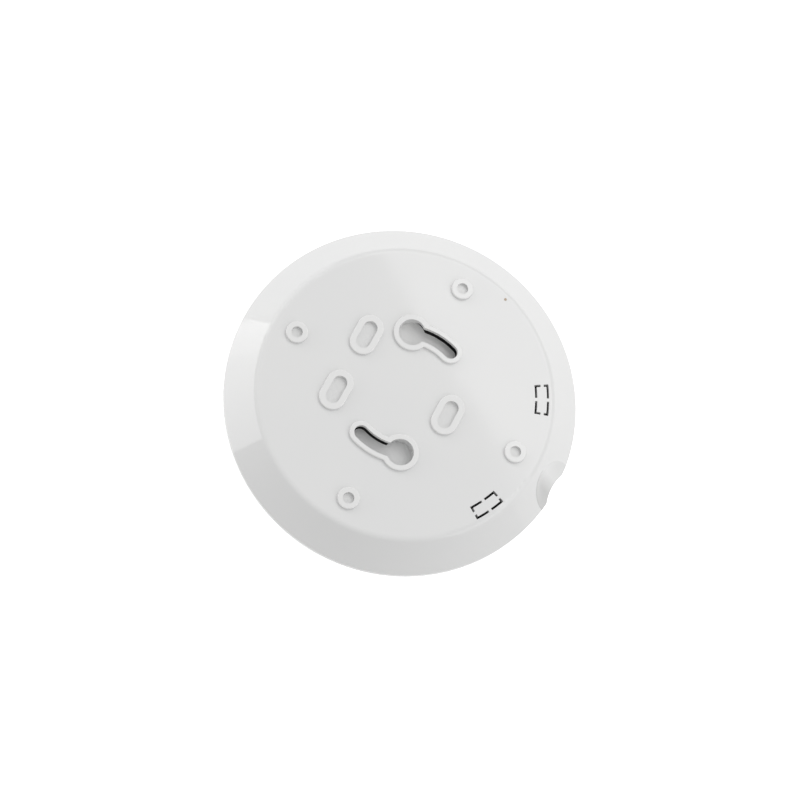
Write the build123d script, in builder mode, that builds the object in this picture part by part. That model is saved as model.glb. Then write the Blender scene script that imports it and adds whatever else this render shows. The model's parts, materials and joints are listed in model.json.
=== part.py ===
from build123d import *
import math
import os

# A ceiling smoke detector with a sealed battery: a dish-shaped mounting base, and a head that turns
# onto it by a three-lug bayonet. All sizes are in millimetres. +Z points up at the ceiling, and z = 0
# is the plane that the raised rims on the back touch. The finger scoop in the skirt is on +X.

os.makedirs("parts", exist_ok=True)

# ---------------------------------------------------------------------------
# Driving dimensions
# ---------------------------------------------------------------------------

# Whole detector
overall_radius = 55.0  # skirt of the base, at its rim
head_depth = 40.0  # ceiling plane to the front face

# Mounting base: flat back, sloping skirt and a short upright band
rim_height = 1.0  # raised rims above the flat back
flat_radius = 45.8
skirt_drop = 9.4
rim_band = 1.6
base_wall = 2.0
edge_round = 2.5
rim_round = 0.3

# Keyholes for the ceiling screws
keyhole_circle = 38.14  # diameter of the circle that the screws slide along
entry_radius = 4.15
entry_rim = 1.6
entry_angle = 112.0
seat_angle = 71.4
slot_width = 4.4
slot_rim = 1.45
lip_thickness = 0.8  # left of the flat back over the screw head's track
track_clearance = 0.45  # track's round end over the entry's radius
track_stop = 8.0  # degrees that the wide track stops short of the entry's centre
pocket_depth = 4.6  # rims' plane to the floor under each keyhole
collar_wall = 1.2
collar_gap = 0.3

# Screw bosses, oblong pads, knock-outs
boss_circle = 76.0
boss_count = 4
boss_hole_radius = 1.75
boss_rim_radius = 3.4
boss_depth = 1.3
pad_width = 4.4
pad_centres = 4.8  # between the centres of an oblong's round ends
pad_rim = 2.0
pad_depth = 1.4
pad_places = [(-19.0, 10.0), (-19.0, -10.0), (14.5, 0.0)]
knockout_inner = 40.2
knockout_outer = 44.6
knockout_start = 20.2
knockout_sweep = 13.0
knockout_cut = 0.7
knockout_bridge = 1.0

# Finger scoop in the skirt: a round hollow, with the wall carried behind it
scoop_radius = 22.6
scoop_reach = 14.5  # its centre past the rim
scoop_lift = 16.3  # its centre above the base's lower edge
scoop_offset = -1.2
scoop_wall = 1.2

# Moulding speck on the flat back
speck_radius = 0.35
speck_place = (13.3, 42.0)

# Stiffening ribs under the flat back
rib_width = 1.2
rib_height = 1.2
rib_ring_radius = 25.0
rib_count = 6
rib_reach = 12.0
rib_start = 45.0  # angle of the first rib

# Bayonet between base and head
ledge_count = 3
ledge_thickness = 1.6
ledge_sweep = 18.0
ledge_start = 21.0
stop_sweep = 2.5
lug_sweep = 12.0
lug_thickness = 1.3
lug_lift = 0.2  # lug above its ledge
lug_play = 0.5  # degrees between a lug and its stop
lug_engagement = 1.6
lug_skirt_gap = 0.5
ledge_gap = 1.1  # ledge to the tray's wall

# Rear housing: the tray of the head
tray_gap = 3.0  # base plate to the tray's floor
tray_floor = 1.8
tray_wall = 1.8
tray_skirt_gap = 0.8
parting_gap = 0.6  # shadow line between base and cover
flange_step = 0.3
flange_thickness = 1.6
flange_clearance = 0.3

# Front cover
cover_inset = 1.3
cover_wall = 2.0
cover_band = 6.4
cover_draft = 0.9
shoulder_radius = 49.7
vent_radius = 47.7
vent_height = 5.0
vent_slot_width = 2.6
vent_slot_margin = 0.5
vent_slot_count = 60
cap_radius = 48.5
cap_depth = 7.5  # vent band to the front face
cap_side = 2.0
cap_crown = 1.2
cap_corner = 4.2
face_radius = 18.0
shoulder_round = 12.0
cap_edge_round = 2.5
cap_corner_round = 4.0
face_round = 40.0
vent_edge_round = 0.4
inner_vent_round = 1.0

# Screws
case_post_circle = 84.4
case_post_radius = 2.6
case_post_angles = [55.0, 150.0, -150.0, -55.0]
case_screw_radius = 1.2
case_screw_length = 10.0
case_head_radius = 2.4
case_head_height = 1.2
board_post_circle = 76.0
board_post_radius = 2.6
board_post_angles = [35.0, 90.0, -90.0, -35.0]
board_screw_radius = 1.0
board_screw_length = 6.5
board_head_radius = 2.0
board_head_height = 1.4
screw_clearance = 0.15
screw_fit = 0.05
drive_width = 0.7
drive_share = 1.2  # length of the cross drive over the head's radius

# Circuit board
board_drop = 9.2  # tray floor to the board
board_thickness = 1.6
board_margin = 0.8
board_notch_clearance = 0.5

# Battery: one lithium cell, 17 mm across and 34.5 mm long
cell_radius = 8.5
cell_length = 33.5
cell_place = -24.0
cell_button_radius = 3.2
cell_button_height = 1.0
sleeve_wall = 0.2
cell_clearance = 1.0
saddle_thickness = 2.0
saddle_spacing = 22.0
saddle_gap = 0.3
tab_width = 4.0
tab_thickness = 0.3
tab_foot = 3.0

# Smoke chamber
chamber_place = 20.5
chamber_radius = 17.6
chamber_base_thickness = 1.8
chamber_base_step = 1.4
chamber_lid = 1.2
chamber_gap = 1.5  # over the pressed button's flange
vane_count = 20
vane_wall = 0.9
vane_depth = 2.1
vane_half = 1.7
vane_tip = 0.6
vane_gap = 0.2
screen_gap = 0.35
screen_wall = 0.3
screen_slot_count = 40
screen_slot_width = 1.8
screen_margin = 1.2
optic_block = 7.6
optic_height = 7.4
optic_inner = 4.6
optic_length = 7.0
optic_angles = [115.0, -115.0]
optic_radius = 2.5
optic_clearance = 0.1
optic_flange_radius = 2.9
optic_flange_length = 1.0
shield_wall = 0.3
shield_clearance = 0.15
leg_side = 0.5
leg_spacing = 2.54
leg_slot = 1.2

# Sounder
horn_button_gap = 1.4  # sounder's seat to the button's flange
horn_radius = 13.0
horn_wall = 1.2
horn_lift = 1.4  # its front plate above the cover's inside
horn_height = 9.4
horn_mouth_radius = 3.0
horn_shelf_height = 3.0
horn_shelf_radius = 9.6
horn_tube_wall = 1.2
horn_tube_height = 4.0
horn_clearance = 0.3
piezo_radius = 10.6
piezo_thickness = 0.3
ceramic_radius = 7.0
ceramic_thickness = 0.25
retainer_thickness = 1.2
grille_slot_length = 14.0
grille_slot_width = 1.8
grille_pitch = 3.6
grille_count = 5
lead_radius = 0.6
lead_angle = 62.0
lead_reach = 19.0
lead_bend = 3.2
lead_weld_bend = 0.84
lead_pad_inset = 0.5
lead_pad_reach = 21.0

# Test button, its spring, and the switch on the board
button_radius = 10.0
button_clearance = 0.35
button_recess = 0.4
button_flange = 1.6
button_flange_thickness = 1.0
button_travel = 0.5
button_dish = 0.8
button_dish_margin = 2.0
button_edge_round = 0.5
stem_place = -4.5
stem_radius = 2.4
bridge_width = 9.0
bridge_thickness = 1.5
bridge_button_gap = 1.105  # bridge's posts to the button's flange
bridge_post_radius = 2.0
bridge_hole_clearance = 0.5
bridge_height = 10.1  # cover's inside to the bridge
bridge_screw_radius = 0.8
bridge_screw_length = 5.0
bridge_head_radius = 1.7
bridge_head_height = 1.0
spring_radius = 3.9
spring_wire = 0.6
spring_turns = 5
switch_side = 6.0
switch_height = 3.5
plunger_radius = 1.7
plunger_stand = 1.0
plunger_root = 1.2
plunger_clearance = 0.3

# Status light
led_place = (0.0, 24.0)
led_radius = 1.5
led_height = 5.0
led_gap = 0.6
led_collar = 0.4
led_collar_height = 0.8
pipe_radius = 1.8
pipe_clearance = 0.2
pipe_round = 0.6

# Parts on the board
mcu_place = (14.0, -20.0)
mcu_size = (10.2, 7.5, 2.3)
mcu_pin_count = 8
mcu_pin_pitch = 1.27
mcu_pin_width = 0.42
mcu_pin_reach = 1.4
mcu_taper = 4  # degrees
capacitor_places = [(2.0, 29.0), (11.0, 29.0), (33.0, 3.0)]
capacitor_radius = 3.15
capacitor_height = 6.2
small_round = 0.5  # edges of cans and moulded cases
film_place = (-6.0, -30.0)
film_size = (10.0, 5.0, 7.0)
inductor_place = (30.0, -8.0)
inductor_radius = 4.6
inductor_height = 7.0
inductor_flange = 1.0
inductor_core_radius = 2.4
inductor_wire_inset = 0.5
resistor_size = (3.2, 1.6, 0.6)
resistor_columns = 5
resistor_rows = 3
resistor_pitch = (5.0, 3.6)
resistor_place = (10.0, 14.0)

# ---------------------------------------------------------------------------
# Heights and radii worked out from them
# ---------------------------------------------------------------------------

flat_z = -rim_height
plate_z = flat_z - base_wall
skirt_z = flat_z - skirt_drop
base_z = skirt_z - rim_band
skirt_slope = math.atan2(skirt_drop, overall_radius - flat_radius)
inner_corner_radius = flat_radius - base_wall * math.tan(skirt_slope / 2)
inner_rim_radius = overall_radius - base_wall
inner_skirt_z = skirt_z - base_wall * math.tan((math.pi / 2 - skirt_slope) / 2)


def skirt_inside(z):
    """Radius of the skirt's inner cone at a height."""
    share = (z - plate_z) / (inner_skirt_z - plate_z)
    return inner_corner_radius + share * (inner_rim_radius - inner_corner_radius)


ledge_top_z = base_z + ledge_thickness
lug_low_z = ledge_top_z + lug_lift
lug_top_z = lug_low_z + lug_thickness
lug_radius = skirt_inside(lug_top_z) - lug_skirt_gap
ledge_radius = lug_radius - lug_engagement
tray_radius = ledge_radius - ledge_gap
tray_inner_radius = tray_radius - tray_wall
tray_top_z = plate_z - tray_gap
tray_under_z = tray_top_z - tray_floor
tray_edge_radius = min(tray_radius, skirt_inside(tray_top_z) - tray_skirt_gap)
tray_edge_z = min(tray_top_z, plate_z + (tray_radius + tray_skirt_gap - inner_corner_radius)
                  / (inner_rim_radius - inner_corner_radius) * (inner_skirt_z - plate_z))

cover_top_z = base_z - parting_gap
cover_radius = overall_radius - cover_inset
cover_inner_radius = cover_radius - cover_wall
flange_top_z = cover_top_z - flange_step
flange_low_z = flange_top_z - flange_thickness
flange_draft = cover_draft / cover_band * (cover_top_z - flange_low_z)
flange_radius = cover_inner_radius - flange_draft - flange_clearance
front_z = -head_depth
cover_inside_z = front_z + cover_wall
vent_low_z = front_z + cap_depth
vent_top_z = vent_low_z + vent_height
vent_inner_radius = vent_radius - cover_wall

board_top_z = tray_under_z - board_drop
board_low_z = board_top_z - board_thickness
board_radius = tray_inner_radius - board_margin

button_flange_radius = button_radius + button_flange
horn_seat_radius = horn_radius + horn_clearance
horn_place = -(button_flange_radius + horn_button_gap + horn_seat_radius + horn_tube_wall)
bridge_post_reach = button_flange_radius + bridge_button_gap + bridge_post_radius
bridge_span = 2 * math.sqrt(bridge_post_reach**2 - stem_place**2)
button_flange_top_z = cover_inside_z + button_flange_thickness
bridge_low_z = cover_inside_z + bridge_height
switch_low_z = board_low_z - switch_height
plunger_tip_z = switch_low_z - plunger_stand
chamber_low_z = button_flange_top_z + button_travel + chamber_gap
chamber_base_z = board_low_z - chamber_base_thickness
cell_z = tray_under_z - saddle_gap - cell_radius - sleeve_wall
horn_low_z = cover_inside_z + horn_lift
horn_top_z = horn_low_z + horn_height
shelf_z = horn_low_z + horn_shelf_height


def keep(piece, name):
    """Label a finished piece and write it as its own STEP file."""
    piece.part.label = name
    export_step(piece.part, f"parts/{name}.step")


def ring_sector(inner, outer, start, sweep):
    """Flat sector between two radii, from the start angle in degrees over the sweep."""
    with BuildSketch() as sector:
        with BuildLine():
            outer_arc = CenterArc((0, 0), outer, start, sweep)
            inner_arc = CenterArc((0, 0), inner, start, sweep)
            Line(outer_arc @ 0, inner_arc @ 0)
            Line(outer_arc @ 1, inner_arc @ 1)
        make_face()
    return sector.sketch


def on_circle(diameter, angle):
    """Point on a circle about the detector's axis."""
    return (
        diameter / 2 * math.cos(math.radians(angle)),
        diameter / 2 * math.sin(math.radians(angle)),
    )


def screw_solid(tip_z, head_z, shank, head, height, flush):
    """Screw on the Z axis, from its tip to its head's seat: flush cone or raised pan head, cross drive."""
    side = 1 if head_z > tip_z else -1
    outer_z = head_z if flush else head_z + side * height
    with BuildPart() as screw:
        with BuildSketch(Plane.XY.offset(tip_z)):
            Circle(shank)
        extrude(amount=head_z - tip_z)
        with BuildSketch(Plane.XY.offset(outer_z - side * height)):
            Circle(shank if flush else head)
        with BuildSketch(Plane.XY.offset(outer_z)):
            Circle(head)
        loft()
        with BuildSketch(Plane.XY.offset(outer_z)):
            Rectangle(head * drive_share, drive_width)
            Rectangle(drive_width, head * drive_share)
        extrude(amount=-side * height / 2, mode=Mode.SUBTRACT)
    return screw.part


# ---------------------------------------------------------------------------
# Mounting base
# ---------------------------------------------------------------------------

keyhole_path = CenterArc((0, 0), keyhole_circle / 2, seat_angle, entry_angle - seat_angle)
track_path = CenterArc((0, 0), keyhole_circle / 2, seat_angle, entry_angle - track_stop - seat_angle)
track_width = 2 * (entry_radius + track_clearance)
knockout_outer_face = ring_sector(knockout_inner, knockout_outer, knockout_start, knockout_sweep)
cut_angle = math.degrees(knockout_cut / knockout_inner)
knockout_inner_face = ring_sector(
    knockout_inner + knockout_cut,
    knockout_outer - knockout_cut,
    knockout_start + cut_angle,
    knockout_sweep - 2 * cut_angle,
)
knockout_middle = knockout_start + knockout_sweep / 2
knockout_mid_radius = (knockout_inner + knockout_outer) / 2
ledge_face = ring_sector(ledge_radius, inner_rim_radius + base_wall / 4, ledge_start, ledge_sweep)
stop_start = ledge_start + ledge_sweep - stop_sweep
stop_face = ring_sector(ledge_radius, inner_rim_radius + base_wall / 4, stop_start, stop_sweep)

with BuildPart() as skirt_core:
    with BuildSketch(Plane.XZ):
        Polygon(
            (0, base_z),
            (0, flat_z - base_wall / 2),
            (flat_radius - base_wall / 2, flat_z - base_wall / 2),
            (overall_radius - base_wall / 2, skirt_z - base_wall / 4),
            (overall_radius - base_wall / 2, base_z),
            align=None,
        )
    revolve(axis=Axis.Z)

with BuildPart() as stop_blocks:
    with BuildSketch(Plane.XY.offset(base_z)):
        with PolarLocations(0, ledge_count):
            add(stop_face)
    extrude(amount=plate_z - base_z)
    add(skirt_core.part, mode=Mode.INTERSECT)

scoop_centre = (overall_radius + scoop_reach, scoop_offset, base_z + scoop_lift)

with BuildPart() as scoop_backing:
    with Locations(scoop_centre):
        Sphere(scoop_radius + scoop_wall)
    add(skirt_core.part, mode=Mode.INTERSECT)

rim_root_z = flat_z - base_wall / 2
# raised rims with softened tops: round and oblong ones, then the curved ones of the slots
with BuildPart() as round_rims:
    with BuildSketch(Plane.XY.offset(rim_root_z)):
        with PolarLocations(boss_circle / 2, boss_count):
            Circle(boss_rim_radius)
        with Locations(*pad_places):
            SlotCenterToCenter(pad_centres, pad_width + 2 * pad_rim, rotation=90)
        with PolarLocations(keyhole_circle / 2, 2, start_angle=entry_angle):
            Circle(entry_radius + entry_rim)
    extrude(amount=-rim_root_z)
    fillet(round_rims.edges().group_by(Axis.Z)[-1], rim_round)

with BuildPart() as slot_rims:
    with BuildSketch(Plane.XY.offset(rim_root_z)):
        with PolarLocations(0, 2):
            SlotArc(keyhole_path, slot_width + 2 * slot_rim)
    extrude(amount=-rim_root_z)
    fillet(slot_rims.edges().group_by(Axis.Z)[-1], rim_round)

with BuildPart() as mounting_base:
    with BuildSketch(Plane.XZ):
        Polygon(
            (0, flat_z),
            (flat_radius, flat_z),
            (overall_radius, skirt_z),
            (overall_radius, base_z),
            (inner_rim_radius, base_z),
            (inner_rim_radius, inner_skirt_z),
            (inner_corner_radius, plate_z),
            (0, plate_z),
            align=None,
        )
    revolve(axis=Axis.Z)
    fillet(mounting_base.edges().filter_by(GeomType.CIRCLE).group_by(Axis.Z)[-1], edge_round)
    add(round_rims.part)
    add(slot_rims.part)
    with BuildSketch(Plane.XY.offset(flat_z)):
        with Locations(speck_place):
            Circle(speck_radius)
    extrude(amount=speck_radius / 2)
    # ribs and collars under the back
    with BuildSketch(Plane.XY.offset(plate_z)):
        Circle(rib_ring_radius + rib_width / 2)
        Circle(rib_ring_radius - rib_width / 2, mode=Mode.SUBTRACT)
        with PolarLocations(rib_ring_radius + rib_reach / 2, rib_count, start_angle=rib_start):
            Rectangle(rib_reach, rib_width)
    extrude(amount=-rib_height)
    with BuildSketch(Plane.XY.offset(plate_z)):
        with PolarLocations(keyhole_circle / 2, 2, start_angle=entry_angle):
            Circle(entry_radius + collar_wall)
    extrude(amount=tray_top_z + collar_gap - plate_z)
    # keyholes through the lips, and the wider track for the screw heads under them
    with BuildSketch():
        with PolarLocations(0, 2):
            SlotArc(keyhole_path, slot_width)
    extrude(amount=flat_z - lip_thickness, mode=Mode.SUBTRACT)
    with BuildSketch():
        with PolarLocations(keyhole_circle / 2, 2, start_angle=entry_angle):
            Circle(entry_radius)
    extrude(amount=tray_top_z, mode=Mode.SUBTRACT)
    with BuildSketch(Plane.XY.offset(flat_z - lip_thickness)):
        with PolarLocations(0, 2):
            SlotArc(track_path, track_width)
    extrude(amount=tray_top_z - flat_z, mode=Mode.SUBTRACT)
    # floor under each keyhole, as wide as its slot, so that a gap is left under the lips
    with BuildSketch(Plane.XY.offset(-pocket_depth)):
        with PolarLocations(0, 2):
            SlotArc(keyhole_path, slot_width)
        with PolarLocations(keyhole_circle / 2, 2, start_angle=entry_angle):
            Circle(entry_radius + collar_wall / 2)
    extrude(amount=tray_top_z + collar_gap + pocket_depth)
    # blind recesses of the bosses and the oblong pads
    with BuildSketch():
        with PolarLocations(boss_circle / 2, boss_count):
            Circle(boss_hole_radius)
    extrude(amount=-boss_depth, mode=Mode.SUBTRACT)
    with BuildSketch():
        with Locations(*pad_places):
            SlotCenterToCenter(pad_centres, pad_width, rotation=90)
    extrude(amount=-pad_depth, mode=Mode.SUBTRACT)
    # dashed outlines of the two knock-outs, held by a bridge in each side
    with BuildSketch(Plane.XY.offset(flat_z)):
        for turn in (0, -2 * knockout_middle):
            with Locations(Location((0, 0), turn)):
                add(knockout_outer_face)
                add(knockout_inner_face, mode=Mode.SUBTRACT)
            with Locations(Location(on_circle(2 * knockout_mid_radius, knockout_middle + turn),
                                    knockout_middle + turn)):
                Rectangle(knockout_outer, knockout_bridge, mode=Mode.SUBTRACT)
                Rectangle(knockout_bridge, knockout_outer, mode=Mode.SUBTRACT)
    extrude(amount=-base_wall, mode=Mode.SUBTRACT)
    # bayonet ledges with their end stops
    with BuildSketch(Plane.XY.offset(base_z)):
        with PolarLocations(0, ledge_count):
            add(ledge_face)
    extrude(amount=ledge_thickness)
    add(stop_blocks.part)
    # finger scoop
    add(scoop_backing.part)
    with Locations(scoop_centre):
        Sphere(scoop_radius, mode=Mode.SUBTRACT)

keep(mounting_base, "mounting_base")

# ---------------------------------------------------------------------------
# Rear housing
# ---------------------------------------------------------------------------

case_spots = [on_circle(case_post_circle, angle) for angle in case_post_angles]
board_spots = [on_circle(board_post_circle, angle) for angle in board_post_angles]
lug_start = stop_start - lug_play - lug_sweep
lug_face = ring_sector(tray_inner_radius, lug_radius, lug_start, lug_sweep)

with BuildPart() as rear_housing:
    with BuildSketch(Plane.XZ):
        Polygon(
            (0, tray_top_z),
            (tray_edge_radius, tray_top_z),
            (tray_radius, tray_edge_z),
            (tray_radius, flange_top_z),
            (flange_radius, flange_top_z),
            (flange_radius, flange_low_z),
            (tray_inner_radius, flange_low_z),
            (tray_inner_radius, tray_under_z),
            (0, tray_under_z),
            align=None,
        )
    revolve(axis=Axis.Z)
    with BuildSketch(Plane.XY.offset(lug_low_z)):
        with PolarLocations(0, ledge_count):
            add(lug_face)
    extrude(amount=lug_thickness)
    # posts that carry the circuit board
    with BuildSketch(Plane.XY.offset(tray_under_z)):
        with Locations(*board_spots):
            Circle(board_post_radius)
    extrude(amount=-board_drop)
    with Locations(*[(x, y, board_top_z) for x, y in board_spots]):
        Cylinder(board_screw_radius + screw_fit, board_screw_length,
                 align=(Align.CENTER, Align.CENTER, Align.MIN), mode=Mode.SUBTRACT)
    # two saddles that hold the cell
    with BuildSketch(Plane.XZ) as saddle_outline:
        with Locations((cell_place, tray_under_z)):
            Rectangle(2 * cell_radius + 2 * saddle_thickness, cell_radius,
                      align=(Align.CENTER, Align.MAX))
        with Locations((cell_place, cell_z)):
            Circle(cell_radius + sleeve_wall + saddle_gap, mode=Mode.SUBTRACT)
    for side in (-1, 1):
        with Locations((0, side * saddle_spacing / 2, 0)):
            add(extrude(saddle_outline.sketch, saddle_thickness / 2, both=True, mode=Mode.PRIVATE))
    # countersunk holes for the case screws
    with Locations(*[(x, y, tray_top_z) for x, y in case_spots]):
        CounterSinkHole(case_screw_radius + screw_clearance, case_head_radius + screw_clearance,
                        depth=tray_floor * 2, counter_sink_angle=90)

keep(rear_housing, "rear_housing")

# ---------------------------------------------------------------------------
# Front cover
# ---------------------------------------------------------------------------

cover_band_z = cover_top_z - cover_band
cap_edge_z = vent_low_z - cap_side
bridge_spots = [(stem_place, -bridge_span / 2), (stem_place, bridge_span / 2)]
floor_sink_z = cover_inside_z - cover_wall / 4  # where the bridge posts and rings root in the cap
post_root_z = cover_inside_z + cap_crown / 2  # where the case posts root in the cap's edge

with BuildPart() as front_cover:
    with BuildSketch(Plane.XZ):
        with BuildLine():
            outside = FilletPolyline(
                (cover_radius, cover_top_z),
                (cover_radius - cover_draft, cover_band_z),
                (shoulder_radius, vent_top_z),
                (vent_radius, vent_top_z),
                (vent_radius, vent_low_z),
                (cap_radius, vent_low_z),
                (cap_radius, cap_edge_z),
                (cap_radius - cap_corner, front_z + cap_crown),
                (face_radius, front_z),
                (0, front_z),
                radius=[shoulder_round, 2 * vent_edge_round, vent_edge_round, vent_edge_round,
                        vent_edge_round, cap_edge_round, cap_corner_round, face_round],
            )
            inside = FilletPolyline(
                (cover_inner_radius, cover_top_z),
                (cover_inner_radius - cover_draft, cover_band_z),
                (shoulder_radius - cover_wall, vent_top_z + cover_wall),
                (vent_inner_radius, vent_top_z + cover_wall),
                (vent_inner_radius, cap_edge_z),
                (cap_radius - cap_corner - cover_wall / 2, front_z + cap_crown + cover_wall),
                (face_radius, cover_inside_z),
                (0, cover_inside_z),
                radius=[shoulder_round - cover_wall, vent_edge_round, vent_edge_round,
                        inner_vent_round, cap_corner_round - cover_wall, face_round],
            )
            Line(outside @ 0, inside @ 0)
            Line(outside @ 1, inside @ 1)
        make_face()
    revolve(axis=Axis.Z)
    # screw posts, bridge posts, and the ring and seat that hold the sounder
    with BuildSketch(Plane.XY.offset(post_root_z)):
        with Locations(*case_spots):
            Circle(case_post_radius)
    extrude(amount=tray_under_z - post_root_z)
    with BuildSketch(Plane.XY.offset(floor_sink_z)):
        with Locations(*bridge_spots):
            Circle(bridge_post_radius)
    extrude(amount=bridge_low_z - floor_sink_z)
    with BuildSketch(Plane.XY.offset(floor_sink_z)):
        with Locations((horn_place, 0)):
            Circle(horn_seat_radius + horn_tube_wall)
            Circle(horn_seat_radius, mode=Mode.SUBTRACT)
    extrude(amount=horn_low_z + horn_tube_height - floor_sink_z)
    with BuildSketch(Plane.XY.offset(floor_sink_z)):
        with Locations((horn_place, 0)):
            Circle(horn_seat_radius + horn_tube_wall / 2)
            Circle(horn_radius - horn_wall, mode=Mode.SUBTRACT)
    extrude(amount=horn_low_z - floor_sink_z)
    # openings: vent slots, sounder grille, button and light
    with BuildSketch(Plane.XY.offset(vent_low_z + vent_slot_margin)):
        with PolarLocations(vent_radius, vent_slot_count):
            Rectangle(3 * cover_wall, vent_slot_width)
        Circle(vent_inner_radius - cover_wall / 4, mode=Mode.SUBTRACT)
    extrude(amount=vent_height - 2 * vent_slot_margin, mode=Mode.SUBTRACT)
    with BuildSketch(Plane.XY.offset(cover_inside_z + horn_lift / 2)):
        with Locations((horn_place, 0)):
            with GridLocations(0, grille_pitch, 1, grille_count):
                SlotOverall(grille_slot_length, grille_slot_width)
        Circle(button_radius + button_clearance)
        with Locations(led_place):
            Circle(pipe_radius + pipe_clearance)
    extrude(amount=-2 * cover_wall, mode=Mode.SUBTRACT)
    with Locations(*[(x, y, tray_under_z) for x, y in case_spots]):
        Cylinder(case_screw_radius + screw_fit, case_screw_length,
                 align=(Align.CENTER, Align.CENTER, Align.MAX), mode=Mode.SUBTRACT)
    with Locations(*[(x, y, bridge_low_z) for x, y in bridge_spots]):
        Cylinder(bridge_screw_radius + screw_fit, bridge_screw_length,
                 align=(Align.CENTER, Align.CENTER, Align.MAX), mode=Mode.SUBTRACT)

keep(front_cover, "front_cover")

# ---------------------------------------------------------------------------
# Circuit board
# ---------------------------------------------------------------------------

cell_cut_half = cell_radius + sleeve_wall + cell_clearance
cell_end = cell_length / 2
cell_cut_end = cell_end + cell_button_height + cell_clearance

with BuildPart() as circuit_board:
    with BuildSketch(Plane.XY.offset(board_low_z)):
        Circle(board_radius)
        with Locations(*case_spots):
            Circle(case_post_radius + board_notch_clearance, mode=Mode.SUBTRACT)
        with Locations(*board_spots):
            Circle(board_screw_radius + screw_clearance, mode=Mode.SUBTRACT)
        with Locations((cell_place, 0)):
            RectangleRounded(2 * cell_cut_half, 2 * cell_cut_end, cell_clearance, mode=Mode.SUBTRACT)
    extrude(amount=board_thickness)

keep(circuit_board, "circuit_board")

with BuildPart() as mcu_chip:
    with BuildSketch(Plane.XY.offset(board_top_z + mcu_pin_width / 2)):
        with Locations(mcu_place):
            Rectangle(mcu_size[0], mcu_size[1])
    extrude(amount=mcu_size[2], taper=mcu_taper)
    with Locations((mcu_place[0] - mcu_size[0] / 2 + mcu_pin_pitch, mcu_place[1],
                    board_top_z + mcu_pin_width / 2 + mcu_size[2])):
        Cylinder(mcu_pin_width, mcu_pin_width, mode=Mode.SUBTRACT)

keep(mcu_chip, "mcu_chip")

with BuildPart() as mcu_pins:
    for side in (-1, 1):
        with Locations((mcu_place[0], mcu_place[1] + side * mcu_size[1] / 2, board_top_z)):
            with GridLocations(mcu_pin_pitch, 0, mcu_pin_count, 1):
                Box(mcu_pin_width, mcu_pin_width, mcu_size[2] / 2,
                    align=(Align.CENTER, Align.MIN if side > 0 else Align.MAX, Align.MIN))
                Box(mcu_pin_width, mcu_pin_reach, mcu_pin_width / 2,
                    align=(Align.CENTER, Align.MIN if side > 0 else Align.MAX, Align.MIN))

keep(mcu_pins, "mcu_pins")

with BuildPart() as capacitors:
    with Locations(*[(x, y, board_top_z) for x, y in capacitor_places]):
        Cylinder(capacitor_radius, capacitor_height, align=(Align.CENTER, Align.CENTER, Align.MIN))
    fillet(capacitors.edges().filter_by(GeomType.CIRCLE).group_by(Axis.Z)[-1], small_round)

keep(capacitors, "capacitors")

with BuildPart() as film_capacitor:
    with Locations((film_place[0], film_place[1], board_top_z)):
        Box(*film_size, align=(Align.CENTER, Align.CENTER, Align.MIN))
    fillet(film_capacitor.edges().filter_by(Axis.Z), small_round)

keep(film_capacitor, "film_capacitor")

with BuildPart() as inductor_core:
    with Locations((*inductor_place, board_top_z)):
        Cylinder(inductor_radius, inductor_height, align=(Align.CENTER, Align.CENTER, Align.MIN))
    with BuildSketch(Plane.XY.offset(board_top_z + inductor_flange)):
        with Locations(inductor_place):
            Circle(inductor_radius + inductor_flange)
            Circle(inductor_core_radius, mode=Mode.SUBTRACT)
    extrude(amount=inductor_height - 2 * inductor_flange, mode=Mode.SUBTRACT)

keep(inductor_core, "inductor_core")

with BuildPart() as inductor_winding:
    with BuildSketch(Plane.XY.offset(board_top_z + inductor_flange)):
        with Locations(inductor_place):
            Circle(inductor_radius - inductor_wire_inset)
            Circle(inductor_core_radius, mode=Mode.SUBTRACT)
    extrude(amount=inductor_height - 2 * inductor_flange)

keep(inductor_winding, "inductor_winding")

with BuildPart() as chip_resistors:
    with Locations((*resistor_place, board_top_z)):
        with GridLocations(*resistor_pitch, resistor_columns, resistor_rows):
            Box(*resistor_size, align=(Align.CENTER, Align.CENTER, Align.MIN))

keep(chip_resistors, "chip_resistors")

# ---------------------------------------------------------------------------
# Battery: a lithium cell in its sleeve, with welded tabs to the board
# ---------------------------------------------------------------------------

with BuildPart() as battery_cell:
    with Locations((cell_place, 0, cell_z)):
        Cylinder(cell_radius, cell_length, rotation=(90, 0, 0))
    fillet(battery_cell.edges().filter_by(GeomType.CIRCLE), small_round)
    with Locations((cell_place, cell_end, cell_z)):
        Cylinder(cell_button_radius, 2 * cell_button_height, rotation=(90, 0, 0))

keep(battery_cell, "battery_cell")

with BuildPart() as battery_sleeve:
    with Locations((cell_place, 0, cell_z)):
        Cylinder(cell_radius + sleeve_wall, cell_length, rotation=(90, 0, 0))
        Cylinder(cell_radius, cell_length, rotation=(90, 0, 0), mode=Mode.SUBTRACT)

keep(battery_sleeve, "battery_sleeve")

tab_top_z = cell_z + cell_radius / 2
with BuildPart() as battery_tabs:
    for side, start in ((-1, cell_end), (1, cell_end + cell_button_height)):
        inward = (Align.CENTER, Align.MIN if side > 0 else Align.MAX, Align.MIN)
        with Locations((cell_place, side * start, board_top_z)):
            Box(tab_width, tab_thickness, tab_top_z - board_top_z, align=inward)
            Box(tab_width, cell_cut_end + tab_foot - start, tab_thickness, align=inward)

keep(battery_tabs, "battery_tabs")

# ---------------------------------------------------------------------------
# Smoke chamber under the board
# ---------------------------------------------------------------------------

optic_z = chamber_base_z - optic_height / 2
block_plane = Plane.XY.offset(chamber_base_z)
optic_outer = optic_inner + optic_length


def optic_spot(radius, angle):
    """Place on the ray from the chamber's centre at an angle."""
    return (
        chamber_place + radius * math.cos(math.radians(angle)),
        radius * math.sin(math.radians(angle)),
    )


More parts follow.
